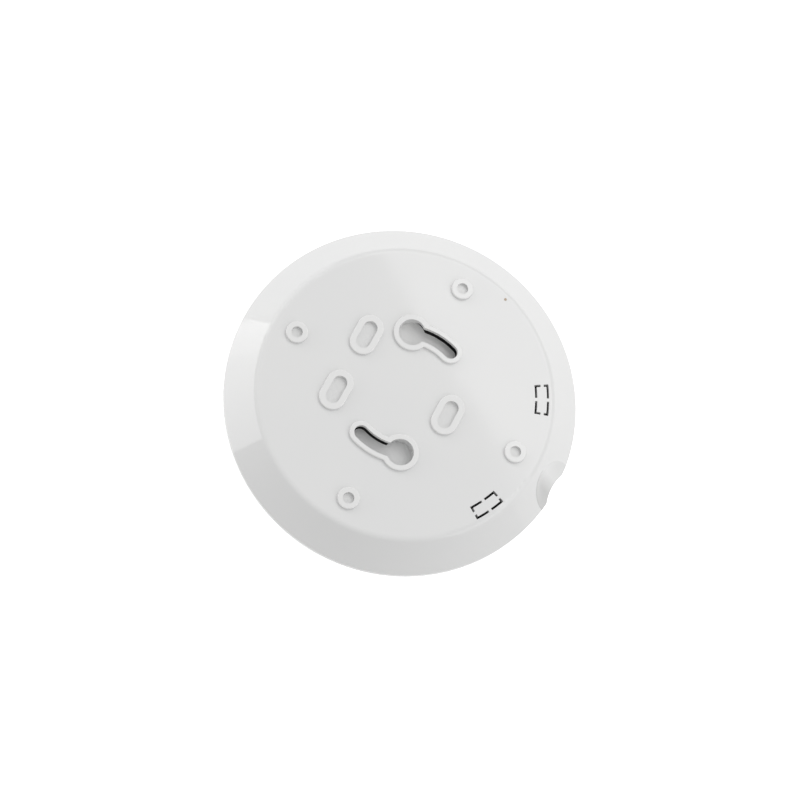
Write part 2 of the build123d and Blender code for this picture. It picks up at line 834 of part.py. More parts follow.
def optic_solid(angle):
    """Domed optical part lying along a ray, its dome towards the chamber's centre, with two legs up."""
    ray = Plane(
        origin=(*optic_spot(optic_outer, angle), optic_z),
        x_dir=(0, 0, 1),
        z_dir=(-math.cos(math.radians(angle)), -math.sin(math.radians(angle)), 0),
    )
    with BuildPart() as optic:
        with BuildSketch(ray):
            Circle(optic_radius)
        extrude(amount=optic_length - optic_radius - optic_clearance)
        with Locations(ray.offset(optic_length - optic_radius - optic_clearance)):
            Sphere(optic_radius)
        with BuildSketch(ray):
            Circle(optic_flange_radius)
        extrude(amount=-optic_flange_length)
        with BuildSketch(Plane.XY.offset(optic_z)):
            with Locations(Location(optic_spot(optic_outer + optic_flange_length / 2, angle), angle)):
                with GridLocations(0, leg_spacing, 1, 2):
                    Rectangle(leg_side, leg_side)
        extrude(amount=board_low_z - optic_z)
    return optic.part


with BuildPart() as chamber_base:
    with BuildSketch(Plane.XY.offset(board_low_z)):
        with Locations((chamber_place, 0)):
            Circle(chamber_radius + chamber_base_step)
    extrude(amount=-chamber_base_thickness)
    for angle in optic_angles:
        with BuildSketch(block_plane):
            with Locations(Location(optic_spot(optic_inner + optic_length / 2, angle), angle)):
                Rectangle(optic_length, optic_block)
        extrude(amount=-optic_height)
        with BuildSketch(Plane(origin=(*optic_spot(optic_outer, angle), optic_z),
                               z_dir=(math.cos(math.radians(angle)), math.sin(math.radians(angle)), 0))):
            Circle(optic_radius + optic_clearance)
        extrude(amount=-optic_length, mode=Mode.SUBTRACT)
        with BuildSketch(Plane.XY.offset(board_low_z)):
            with Locations(Location(optic_spot(optic_outer + optic_flange_length / 2, angle), angle)):
                Rectangle(leg_slot, leg_spacing + leg_slot)
        extrude(amount=-chamber_base_thickness, mode=Mode.SUBTRACT)

keep(chamber_base, "chamber_base")

emitter_solid = optic_solid(optic_angles[0])
with BuildPart() as ir_emitter:
    add(emitter_solid)

keep(ir_emitter, "ir_emitter")

photodiode_solid = optic_solid(optic_angles[1])
with BuildPart() as photodiode:
    add(photodiode_solid)

keep(photodiode, "photodiode")

shield_place = Location(optic_spot(optic_inner + optic_length / 2, optic_angles[1]), optic_angles[1])
with BuildPart() as photodiode_shield:
    with BuildSketch(block_plane):
        with Locations(shield_place):
            Rectangle(optic_length, optic_block + 2 * (shield_clearance + shield_wall))
    extrude(amount=-optic_height - shield_clearance - shield_wall)
    with BuildSketch(block_plane):
        with Locations(shield_place):
            Rectangle(2 * optic_length, optic_block + 2 * shield_clearance)
    extrude(amount=-optic_height - shield_clearance, mode=Mode.SUBTRACT)

keep(photodiode_shield, "photodiode_shield")

vane_slant = vane_wall * math.hypot(vane_depth, vane_half + vane_tip) / vane_depth
with BuildPart() as chamber_labyrinth:
    with BuildSketch(Plane.XY.offset(chamber_low_z)):
        with Locations((chamber_place, 0)):
            Circle(chamber_radius)
    extrude(amount=chamber_lid)
    with BuildSketch(Plane.XY.offset(chamber_low_z + chamber_lid / 2)):
        with Locations((chamber_place, 0)):
            with PolarLocations(chamber_radius - vane_depth, vane_count):
                Polygon(
                    (vane_depth, -vane_half),
                    (vane_depth, vane_slant - vane_half),
                    (0, vane_tip + vane_slant),
                    (-vane_depth, vane_slant - vane_half),
                    (-vane_depth, -vane_half),
                    (0, vane_tip),
                    align=None,
                )
            Circle(chamber_radius, mode=Mode.INTERSECT)
    extrude(amount=chamber_base_z - vane_gap - chamber_low_z - chamber_lid / 2)

keep(chamber_labyrinth, "chamber_labyrinth")

screen_inner = chamber_radius + screen_gap
with BuildPart() as insect_screen:
    with BuildSketch(Plane.XY.offset(chamber_low_z)):
        with Locations((chamber_place, 0)):
            Circle(screen_inner + screen_wall)
            Circle(screen_inner, mode=Mode.SUBTRACT)
    extrude(amount=chamber_base_z - chamber_low_z)
    with BuildSketch(Plane.XY.offset(chamber_low_z + screen_margin)):
        with Locations((chamber_place, 0)):
            with PolarLocations(screen_inner, screen_slot_count):
                Rectangle(4 * screen_wall, screen_slot_width)
    extrude(amount=chamber_base_z - chamber_low_z - 2 * screen_margin, mode=Mode.SUBTRACT)

keep(insect_screen, "insect_screen")

# ---------------------------------------------------------------------------
# Sounder over the grille
# ---------------------------------------------------------------------------

horn_inner_radius = horn_radius - horn_wall
plate_low_z = shelf_z
plate_top_z = plate_low_z + piezo_thickness
lead_z = plate_top_z + 3 * lead_radius
pad_spots = [(stem_place + lead_pad_inset, side * lead_pad_reach) for side in (1, -1)]


def horn_disc(low_z, outer, inner, height):
    """Round plate or ring on the sounder's axis."""
    with BuildPart() as disc:
        with BuildSketch(Plane.XY.offset(low_z)):
            with Locations((horn_place, 0)):
                Circle(outer)
                if inner:
                    Circle(inner, mode=Mode.SUBTRACT)
        extrude(amount=height)
    return disc.part


def lead_hole(side):
    """Round bore along a lead's run out of the sounder."""
    angle = side * lead_angle
    run = Plane(
        origin=(horn_place, 0, lead_z),
        z_dir=(math.cos(math.radians(angle)), math.sin(math.radians(angle)), 0),
    )
    return extrude(run * Circle(lead_radius + screw_clearance), horn_radius + horn_wall)


lead_holes = [lead_hole(-1), lead_hole(1)]

with BuildPart() as horn_housing:
    add(horn_disc(horn_low_z, horn_radius, horn_mouth_radius, horn_wall))
    add(horn_disc(horn_low_z, horn_radius, horn_shelf_radius, horn_shelf_height))
    add(horn_disc(horn_low_z, horn_radius, horn_inner_radius, horn_height - retainer_thickness))
    add(lead_holes, mode=Mode.SUBTRACT)

keep(horn_housing, "horn_housing")

with BuildPart() as piezo_plate:
    add(horn_disc(plate_low_z, piezo_radius, 0, piezo_thickness))

keep(piezo_plate, "piezo_plate")

with BuildPart() as piezo_ceramic:
    add(horn_disc(plate_top_z, ceramic_radius, 0, ceramic_thickness))

keep(piezo_ceramic, "piezo_ceramic")

spigot_radius = horn_inner_radius - screw_clearance
with BuildPart() as horn_retainer:
    add(horn_disc(horn_top_z - retainer_thickness, horn_radius, 0, retainer_thickness))
    add(horn_disc(plate_top_z, spigot_radius, spigot_radius - horn_wall,
                  horn_top_z - retainer_thickness - plate_top_z))
    add(lead_holes, mode=Mode.SUBTRACT)

keep(horn_retainer, "horn_retainer")

with BuildPart() as sounder_leads:
    for side, pad in ((1, pad_spots[0]), (-1, pad_spots[1])):
        ray = (math.cos(math.radians(lead_angle)), side * math.sin(math.radians(lead_angle)))
        weld = (ceramic_radius + piezo_radius) / 2 - 2 * lead_radius
        with BuildLine() as route:
            FilletPolyline(
                (horn_place + weld * ray[0], weld * ray[1], plate_top_z + lead_radius / 2),
                (horn_place + weld * ray[0], weld * ray[1], lead_z),
                (horn_place + lead_reach * ray[0], lead_reach * ray[1], lead_z),
                (*pad, lead_z),
                (*pad, board_low_z),
                radius=[lead_weld_bend, lead_bend, lead_bend],
            )
        with BuildSketch(Plane(origin=route.line @ 0, z_dir=route.line % 0)):
            Circle(lead_radius)
        sweep(path=route.line)

keep(sounder_leads, "sounder_leads")

# ---------------------------------------------------------------------------
# Test button, bridge, spring and switch
# ---------------------------------------------------------------------------

dish_span = button_radius - button_dish_margin
dish_radius = (dish_span**2 + button_dish**2) / (2 * button_dish)
button_front_z = front_z + button_recess

with BuildPart() as test_button:
    with BuildSketch(Plane.XY.offset(button_front_z)):
        Circle(button_radius)
    extrude(amount=button_flange_top_z - button_front_z)
    fillet(test_button.edges().filter_by(GeomType.CIRCLE).group_by(Axis.Z)[0], button_edge_round)
    with BuildSketch(Plane.XY.offset(cover_inside_z)):
        Circle(button_flange_radius)
    extrude(amount=button_flange_thickness)
    with BuildSketch(Plane.XY.offset(cover_inside_z)):
        with Locations((stem_place, 0)):
            Circle(stem_radius)
    extrude(amount=plunger_tip_z - cover_inside_z)
    with Locations((0, 0, button_front_z + button_dish - dish_radius)):
        Sphere(dish_radius, mode=Mode.SUBTRACT)

keep(test_button, "test_button")

with BuildPart() as button_bridge:
    with BuildSketch(Plane.XY.offset(bridge_low_z)):
        with Locations((stem_place, 0)):
            SlotCenterToCenter(bridge_span, bridge_width, rotation=90)
            Circle(stem_radius + bridge_hole_clearance, mode=Mode.SUBTRACT)
        with Locations(*bridge_spots):
            Circle(bridge_screw_radius + screw_clearance, mode=Mode.SUBTRACT)
    extrude(amount=bridge_thickness)

keep(button_bridge, "button_bridge")

with BuildPart() as button_spring:
    coil_height = bridge_low_z - button_flange_top_z - spring_wire
    with BuildLine() as coil:
        Helix(coil_height / spring_turns, coil_height, spring_radius,
              center=(stem_place, 0, button_flange_top_z + spring_wire / 2))
    with BuildSketch(Plane(origin=coil.line @ 0, z_dir=coil.line % 0)):
        Circle(spring_wire / 2)
    sweep(path=coil.line, is_frenet=True)

keep(button_spring, "button_spring")

with BuildPart() as switch_body:
    with Locations((stem_place, 0, switch_low_z)):
        Box(switch_side, switch_side, switch_height, align=(Align.CENTER, Align.CENTER, Align.MIN))
        Cylinder(plunger_radius + plunger_clearance, plunger_root + button_travel + plunger_clearance,
                 align=(Align.CENTER, Align.CENTER, Align.MIN), mode=Mode.SUBTRACT)

keep(switch_body, "switch_body")

with BuildPart() as switch_plunger:
    with Locations((stem_place, 0, plunger_tip_z)):
        Cylinder(plunger_radius, plunger_stand + plunger_root,
                 align=(Align.CENTER, Align.CENTER, Align.MIN))

keep(switch_plunger, "switch_plunger")

# ---------------------------------------------------------------------------
# Status light
# ---------------------------------------------------------------------------

led_dome_z = board_low_z - led_height + led_radius
with BuildPart() as status_led:
    with Locations((*led_place, board_low_z)):
        Cylinder(led_radius, led_height - led_radius, align=(Align.CENTER, Align.CENTER, Align.MAX))
        Cylinder(led_radius + led_collar, led_collar_height, align=(Align.CENTER, Align.CENTER, Align.MAX))
    with Locations((*led_place, led_dome_z)):
        Sphere(led_radius)

keep(status_led, "status_led")

pipe_top_z = board_low_z - led_height - led_gap
with BuildPart() as light_pipe:
    with Locations((*led_place, pipe_top_z)):
        Cylinder(pipe_radius, pipe_top_z - front_z - button_recess,
                 align=(Align.CENTER, Align.CENTER, Align.MAX))
    fillet(light_pipe.edges().filter_by(GeomType.CIRCLE).group_by(Axis.Z)[0], pipe_round)

keep(light_pipe, "light_pipe")

# ---------------------------------------------------------------------------
# Screws
# ---------------------------------------------------------------------------

case_screw = screw_solid(tray_top_z - case_screw_length, tray_top_z, case_screw_radius,
                         case_head_radius, case_head_height, True)
board_screw = screw_solid(board_low_z + board_screw_length, board_low_z, board_screw_radius,
                          board_head_radius, board_head_height, False)
bridge_top_z = bridge_low_z + bridge_thickness
bridge_screw = screw_solid(bridge_top_z - bridge_screw_length, bridge_top_z, bridge_screw_radius,
                           bridge_head_radius, bridge_head_height, False)

with BuildPart() as case_screws:
    with Locations(*case_spots):
        add(case_screw)

keep(case_screws, "case_screws")

with BuildPart() as board_screws:
    with Locations(*board_spots):
        add(board_screw)

keep(board_screws, "board_screws")

with BuildPart() as bridge_screws:
    with Locations(*bridge_spots):
        add(bridge_screw)

keep(bridge_screws, "bridge_screws")
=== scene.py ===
import json
import math

import bmesh
import bpy
import numpy as np
from mathutils import Matrix, Vector


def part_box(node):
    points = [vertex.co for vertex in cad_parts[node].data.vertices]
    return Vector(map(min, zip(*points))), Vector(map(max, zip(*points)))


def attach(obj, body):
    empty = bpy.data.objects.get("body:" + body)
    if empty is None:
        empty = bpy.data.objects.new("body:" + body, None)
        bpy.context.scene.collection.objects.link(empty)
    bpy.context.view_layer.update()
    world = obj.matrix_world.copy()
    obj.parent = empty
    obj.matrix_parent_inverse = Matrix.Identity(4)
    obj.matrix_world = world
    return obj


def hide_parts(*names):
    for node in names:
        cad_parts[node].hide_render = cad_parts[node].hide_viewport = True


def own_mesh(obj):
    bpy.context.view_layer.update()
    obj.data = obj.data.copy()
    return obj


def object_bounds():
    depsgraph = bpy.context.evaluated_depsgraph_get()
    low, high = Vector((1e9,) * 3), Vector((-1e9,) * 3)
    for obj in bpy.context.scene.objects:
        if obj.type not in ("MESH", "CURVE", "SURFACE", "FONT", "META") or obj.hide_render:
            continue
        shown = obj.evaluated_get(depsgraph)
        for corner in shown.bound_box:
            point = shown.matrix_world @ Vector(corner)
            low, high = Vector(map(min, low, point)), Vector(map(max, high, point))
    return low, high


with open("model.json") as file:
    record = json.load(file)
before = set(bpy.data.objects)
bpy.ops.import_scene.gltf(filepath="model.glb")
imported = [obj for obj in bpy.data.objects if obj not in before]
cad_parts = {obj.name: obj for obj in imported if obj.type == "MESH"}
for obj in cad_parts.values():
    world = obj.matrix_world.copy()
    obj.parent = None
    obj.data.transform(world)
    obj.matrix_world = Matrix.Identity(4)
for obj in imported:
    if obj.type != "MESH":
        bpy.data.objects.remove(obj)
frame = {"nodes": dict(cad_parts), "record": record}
cad_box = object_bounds()
nodes = frame["nodes"]
MM = 0.001
WELD = 0.002 * MM
SHARP_ANGLE = math.radians(32)

# ---------------------------------------------------------------------------
# Node groups shared by the materials
# ---------------------------------------------------------------------------


def new_group(name, inputs, outputs):
    """Empty shader node group with named float, colour or vector sockets; returns it with its two ends."""
    group = bpy.data.node_groups.new(name, "ShaderNodeTree")
    for label, kind, value in inputs:
        socket = group.interface.new_socket(label, in_out="INPUT", socket_type=kind)
        socket.default_value = value
    for label, kind in outputs:
        group.interface.new_socket(label, in_out="OUTPUT", socket_type=kind)
    return group, group.nodes.new("NodeGroupInput"), group.nodes.new("NodeGroupOutput")


def noise(tree, vector, scale, detail=4.0, roughness=0.5):
    """Noise texture on a vector, with its scale as cycles per metre."""
    node = tree.nodes.new("ShaderNodeTexNoise")
    node.inputs["Detail"].default_value = detail
    node.inputs["Roughness"].default_value = roughness
    tree.links.new(vector, node.inputs["Vector"])
    if isinstance(scale, (int, float)):
        node.inputs["Scale"].default_value = scale
    else:
        tree.links.new(scale, node.inputs["Scale"])
    return node.outputs["Fac"]


def spread(tree, value, low, high, to_low=0.0, to_high=1.0):
    """Map a value from one range onto another, clamped."""
    node = tree.nodes.new("ShaderNodeMapRange")
    node.inputs["From Min"].default_value = low
    node.inputs["From Max"].default_value = high
    for label, end in (("To Min", to_low), ("To Max", to_high)):
        if isinstance(end, (int, float)):
            node.inputs[label].default_value = end
        else:
            tree.links.new(end, node.inputs[label])
    tree.links.new(value, node.inputs["Value"])
    return node.outputs["Result"]


def calculate(tree, operation, first, second):
    """One Math node; each side is a socket or a number."""
    node = tree.nodes.new("ShaderNodeMath")
    node.operation = operation
    for socket, value in zip(node.inputs, (first, second)):
        if isinstance(value, (int, float)):
            socket.default_value = value
        else:
            tree.links.new(value, socket)
    return node.outputs[0]


def blend_colours(tree, factor, first, second, how="MIX"):
    """One colour Mix node; each colour is a socket or three numbers."""
    node = tree.nodes.new("ShaderNodeMix")
    node.data_type = "RGBA"
    node.blend_type = how
    if isinstance(factor, (int, float)):
        node.inputs["Factor"].default_value = factor
    else:
        tree.links.new(factor, node.inputs["Factor"])
    for label, value in (("A", first), ("B", second)):
        socket = [s for s in node.inputs if s.name == label and s.type == "RGBA"][0]
        if isinstance(value, (tuple, list)):
            socket.default_value = (*value[:3], 1.0)
        else:
            tree.links.new(value, socket)
    return [s for s in node.outputs if s.type == "RGBA"][0]


def moulded_skin_group():
    """Moulded surface: a height of ripple and pores, a mask of handling haze, and a mottled tone."""
    group, start, end = new_group(
        "moulded_skin",
        [("Vector", "NodeSocketVector", (0, 0, 0)), ("Grain", "NodeSocketFloat", 1800.0),
         ("Ripple", "NodeSocketFloat", 1.0)],
        [("Height", "NodeSocketFloat"), ("Haze", "NodeSocketFloat"), ("Tone", "NodeSocketFloat")],
    )
    place = start.outputs["Vector"]
    ripple = noise(group, place, 46.0, 2.0)
    grain = noise(group, place, start.outputs["Grain"], 3.0, 0.6)
    broad = calculate(group, "MULTIPLY", ripple, start.outputs["Ripple"])
    height = calculate(group, "ADD", broad, calculate(group, "MULTIPLY", grain, 0.05))
    haze = spread(group, noise(group, place, 34.0, 6.0, 0.65), 0.45, 0.75)
    tone = noise(group, place, 17.0, 3.0)
    for label, value in (("Height", height), ("Haze", haze), ("Tone", tone)):
        group.links.new(value, end.inputs[label])
    return group


def fine_scratches_group():
    """Thin crossing scuffs: two stretched noises, cut to their narrow crests."""
    group, start, end = new_group(
        "fine_scratches",
        [("Vector", "NodeSocketVector", (0, 0, 0)), ("Amount", "NodeSocketFloat", 0.5)],
        [("Mask", "NodeSocketFloat")],
    )
    crests = []
    for turn, stretch in ((0.4, (900.0, 22.0, 60.0)), (2.1, (760.0, 18.0, 60.0))):
        mapping = group.nodes.new("ShaderNodeMapping")
        mapping.inputs["Rotation"].default_value = (0, 0, turn)
        mapping.inputs["Scale"].default_value = stretch
        group.links.new(start.outputs["Vector"], mapping.inputs["Vector"])
        crests.append(spread(group, noise(group, mapping.outputs["Vector"], 1.0, 2.0), 0.66, 0.72))
    patches = spread(group, noise(group, start.outputs["Vector"], 60.0, 2.0), 0.5, 0.65)
    both = calculate(group, "MAXIMUM", crests[0], crests[1])
    worn = calculate(group, "MULTIPLY", both, patches)
    group.links.new(calculate(group, "MULTIPLY", worn, start.outputs["Amount"]), end.inputs["Mask"])
    return group


def dust_group():
    """Dust that settles in small flecks, more on faces turned up."""
    group, start, end = new_group(
        "settled_dust",
        [("Vector", "NodeSocketVector", (0, 0, 0)), ("Amount", "NodeSocketFloat", 0.3)],
        [("Mask", "NodeSocketFloat")],
    )
    flecks = spread(group, noise(group, start.outputs["Vector"], 950.0, 2.0), 0.70, 0.80)
    cloud = spread(group, noise(group, start.outputs["Vector"], 28.0, 4.0), 0.42, 0.72)
    mask = calculate(group, "MULTIPLY", flecks, cloud)
    group.links.new(calculate(group, "MULTIPLY", mask, start.outputs["Amount"]), end.inputs["Mask"])
    return group


MOULDED_SKIN = moulded_skin_group()
FINE_SCRATCHES = fine_scratches_group()
SETTLED_DUST = dust_group()

# ---------------------------------------------------------------------------
# Materials
# ---------------------------------------------------------------------------

MASK_EDGE = 0.06 * MM
# painted highlight: colour for the tops of the rims standing proud of the back, lighter than the flat
PAINTED_RIM_HIGHLIGHT = (0.82, 0.82, 0.815)
SPECK_PLACE = (13.3 * MM, 42.0 * MM, -0.9 * MM)
SPECK_RADIUS = 0.45 * MM
BURNT_SPECK = (0.46, 0.36, 0.26)
SCOOP_CENTRE = (69.5 * MM, -1.2 * MM, 4.3 * MM)  # of the round hollow that the scoop is part of
SCOOP_RADIUS = 22.6 * MM
SCOOP_SHADE_SPAN = (1.2 * MM, -3.5 * MM)  # from no painted shade to full painted shade, along Y
# painted shade: colour of the lower side of the finger scoop
PAINTED_SCOOP_SHADE = (0.56, 0.56, 0.555)


def start_material(name):
    """New material with one Principled shader and the object's own coordinates."""
    material = bpy.data.materials.new(name)
    material.use_nodes = True
    tree = material.node_tree
    shader = tree.nodes["Principled BSDF"]
    place = tree.nodes.new("ShaderNodeTexCoord").outputs["Object"]
    return material, tree, shader, place


def use_group(tree, group, place, **values):
    """Place a shared group on the object's coordinates with its own values."""
    node = tree.nodes.new("ShaderNodeGroup")
    node.node_tree = group
    tree.links.new(place, node.inputs["Vector"])
    for label, value in values.items():
        node.inputs[label.capitalize()].default_value = value
    return node


def add_bump(tree, shader, height, distance, strength=1.0):
    """Bump from a height, with its distance in metres."""
    node = tree.nodes.new("ShaderNodeBump")
    node.inputs["Distance"].default_value = distance
    node.inputs["Strength"].default_value = strength
    tree.links.new(height, node.inputs["Height"])
    tree.links.new(node.outputs["Normal"], shader.inputs["Normal"])


def near_point(tree, place, point, radius):
    """Mask of one within a radius of a point, with a narrow soft edge."""
    distance = tree.nodes.new("ShaderNodeVectorMath")
    distance.operation = "DISTANCE"
    tree.links.new(place, distance.inputs[0])
    distance.inputs[1].default_value = point
    return spread(tree, distance.outputs["Value"], radius - MASK_EDGE, radius + MASK_EDGE, 1.0, 0.0)


def along_axis(tree, place, axis, none_at, full_at):
    """Mask that rises from nothing to one between two places along an axis."""
    parts = tree.nodes.new("ShaderNodeSeparateXYZ")
    tree.links.new(place, parts.inputs["Vector"])
    return spread(tree, parts.outputs[axis], none_at, full_at)


def moulded_plastic(name, colour, shade, gloss, haze, ripple=1.0, grain=1800.0, scuffs=0.5, dust=0.3,
                    bump=0.00002, speck_and_painted_light=False):
    """Moulded plastic: mottled tone, haze and scuffs in the gloss, faint ripple and grain, settled dust.

    If set, the tops of the rims that stand proud of the back are painted lighter as a highlight, a speck is
    burnt in, and the finger scoop is painted darker towards its lower side as shade."""
    material, tree, shader, place = start_material(name)
    skin = use_group(tree, MOULDED_SKIN, place, grain=grain, ripple=ripple)
    marks = use_group(tree, FINE_SCRATCHES, place, amount=scuffs)
    flecks = use_group(tree, SETTLED_DUST, place, amount=dust)
    tone = spread(tree, skin.outputs["Tone"], 0.35, 0.65)
    body = blend_colours(tree, tone, colour, shade)
    if speck_and_painted_light:
        # painted highlight: everything standing above the flat back, the rim tops, is coloured lighter
        body = blend_colours(tree, along_axis(tree, place, "Z", -0.7 * MM, -0.2 * MM), body, PAINTED_RIM_HIGHLIGHT)
        body = blend_colours(tree, near_point(tree, place, SPECK_PLACE, SPECK_RADIUS), body, BURNT_SPECK)
        # painted shade: the scoop's hollow is coloured darker towards its lower side
        hollow = near_point(tree, place, SCOOP_CENTRE, SCOOP_RADIUS + 2 * MASK_EDGE)
        scoop_shade = calculate(tree, "MULTIPLY", hollow, along_axis(tree, place, "Y", *SCOOP_SHADE_SPAN))
        body = blend_colours(tree, scoop_shade, body, PAINTED_SCOOP_SHADE)
    dusty = blend_colours(tree, flecks.outputs["Mask"], body, (0.46, 0.44, 0.41))
    tree.links.new(dusty, shader.inputs["Base Color"])
    hazed = spread(tree, skin.outputs["Haze"], 0.0, 1.0, gloss, haze)
    marked = calculate(tree, "ADD", hazed, calculate(tree, "MULTIPLY", marks.outputs["Mask"], 0.25))
    rough = calculate(tree, "ADD", marked, calculate(tree, "MULTIPLY", flecks.outputs["Mask"], 0.4))
    tree.links.new(rough, shader.inputs["Roughness"])
    add_bump(tree, shader, skin.outputs["Height"], bump)
    return material


def metal(name, colour, shade, rough, brushed=(1.0, 1.0, 1.0), scale=900.0, dull=0.15):
    """Metal with a drawn or rolled grain and patches of dull tarnish."""
    material, tree, shader, place = start_material(name)
    mapping = tree.nodes.new("ShaderNodeMapping")
    mapping.inputs["Scale"].default_value = brushed
    tree.links.new(place, mapping.inputs["Vector"])
    grain = noise(tree, mapping.outputs["Vector"], scale, 3.0, 0.6)
    patches = spread(tree, noise(tree, place, 120.0, 5.0), 0.4, 0.7)
    tree.links.new(blend_colours(tree, patches, colour, shade), shader.inputs["Base Color"])
    worn = calculate(tree, "MULTIPLY", patches, dull)
    rough_grain = spread(tree, grain, 0.3, 0.7, rough, rough + 0.12)
    tree.links.new(calculate(tree, "ADD", rough_grain, worn), shader.inputs["Roughness"])
    shader.inputs["Metallic"].default_value = 1.0
    add_bump(tree, shader, grain, 0.000012)
    return material


def clear_plastic(name, colour, rough):
    """Clear or tinted moulded lens, with faint flow marks."""
    material, tree, shader, place = start_material(name)
    flow = noise(tree, place, 300.0, 3.0)
    tint = blend_colours(tree, spread(tree, flow, 0.35, 0.65), colour, tuple(0.93 * c for c in colour))
    tree.links.new(tint, shader.inputs["Base Color"])
    tree.links.new(spread(tree, flow, 0.3, 0.7, rough, rough + 0.08), shader.inputs["Roughness"])
    shader.inputs["Transmission Weight"].default_value = 0.85
    shader.inputs["IOR"].default_value = 1.49
    add_bump(tree, shader, flow, 0.00001)
    return material


def board_laminate(name):
    """Circuit board: solder resist over glass weave, with copper tracks showing through in lighter green."""
    material, tree, shader, place = start_material(name)
    weave = tree.nodes.new("ShaderNodeTexBrick")
    weave.inputs["Scale"].default_value = 420.0
    weave.inputs["Mortar Size"].default_value = 0.06
    tree.links.new(place, weave.inputs["Vector"])
    mapping = tree.nodes.new("ShaderNodeMapping")
    mapping.inputs["Rotation"].default_value = (0, 0, math.pi / 4)
    tree.links.new(place, mapping.inputs["Vector"])
    cells = tree.nodes.new("ShaderNodeTexVoronoi")
    cells.distance = "MANHATTAN"
    cells.feature = "DISTANCE_TO_EDGE"
    cells.inputs["Scale"].default_value = 190.0
    tree.links.new(mapping.outputs["Vector"], cells.inputs["Vector"])
    tracks = spread(tree, cells.outputs["Distance"], 0.10, 0.14)
    resist = blend_colours(tree, tracks, (0.012, 0.115, 0.045), (0.03, 0.21, 0.075))
    laminate = blend_colours(tree, 0.12, resist, weave.outputs["Color"], "MULTIPLY")
    tree.links.new(laminate, shader.inputs["Base Color"])
    tree.links.new(spread(tree, tracks, 0.0, 1.0, 0.32, 0.22), shader.inputs["Roughness"])
    add_bump(tree, shader, tracks, 0.00003)
    return material


def wound_copper(name):
    """Enamelled copper wire, wound in close turns up the core."""
    material, tree, shader, place = start_material(name)
    turns = tree.nodes.new("ShaderNodeTexWave")
    turns.bands_direction = "Z"
    turns.inputs["Scale"].default_value = 700.0
    turns.inputs["Distortion"].default_value = 0.4
    tree.links.new(place, turns.inputs["Vector"])
    colour = blend_colours(tree, turns.outputs["Fac"], (0.30, 0.09, 0.03), (0.78, 0.34, 0.15))
    tree.links.new(colour, shader.inputs["Base Color"])
    tree.links.new(spread(tree, turns.outputs["Fac"], 0.0, 1.0, 0.42, 0.26), shader.inputs["Roughness"])
    shader.inputs["Metallic"].default_value = 0.85
    add_bump(tree, shader, turns.outputs["Fac"], 0.00012)
    return material


